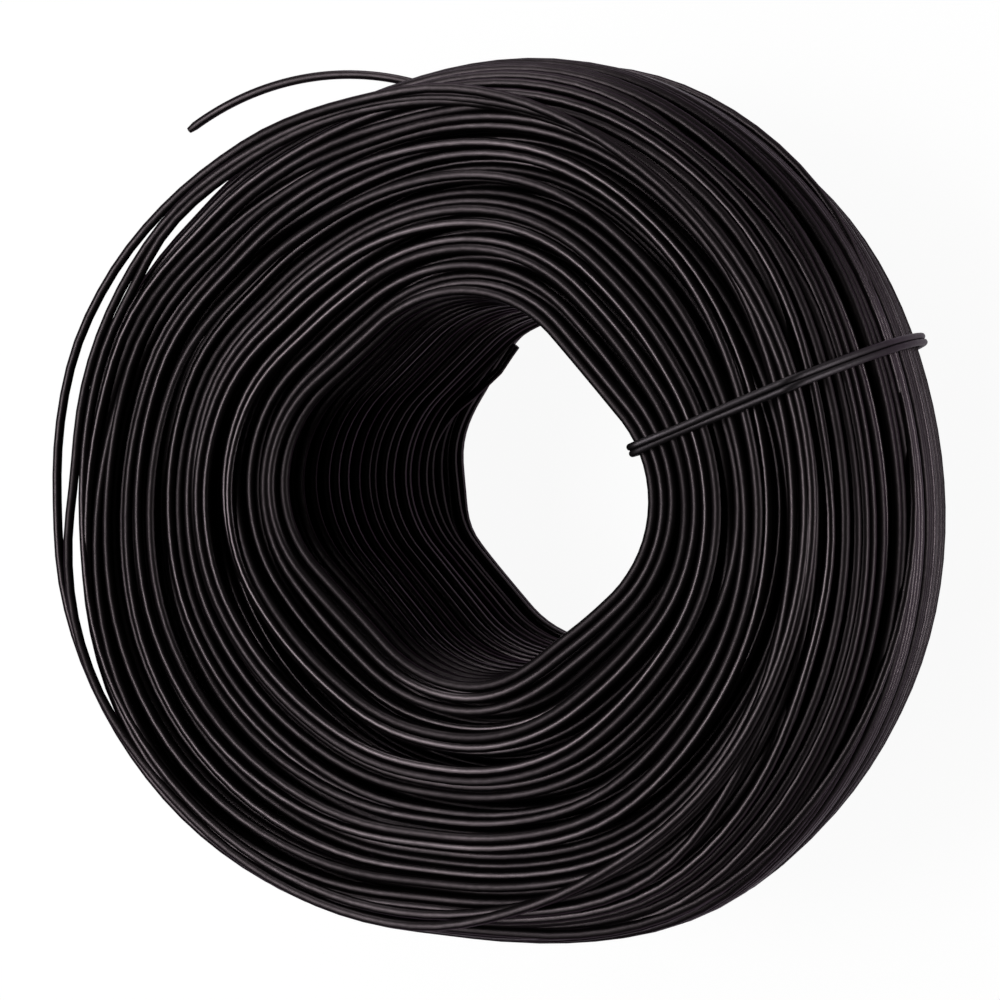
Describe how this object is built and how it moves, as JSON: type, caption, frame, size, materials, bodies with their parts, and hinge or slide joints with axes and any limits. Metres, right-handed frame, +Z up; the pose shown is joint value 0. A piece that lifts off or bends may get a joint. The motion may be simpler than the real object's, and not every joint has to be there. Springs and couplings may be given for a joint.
{
  "type": "coil of tie wire",
  "caption": "Coil of black annealed tie wire, wound on a rounded square former, with a free end and one binding tie, lying on one end.",
  "frame": {"origin": "bottom centre of the whole part's box, on the floor under the coil", "axes": "+Z up along the coil's axis, the free end pointing to -X"},
  "size_m": [0.143, 0.1468, 0.0695],
  "materials": {
    "annealed_wire": "black annealing scale, semi-matt",
    "tie_wire": "black annealing scale, semi-matt"
  },
  "bodies": {
    "root": {"wire_coil": "annealed_wire", "binding_tie": "tie_wire"}
  },
  "joints": []
}
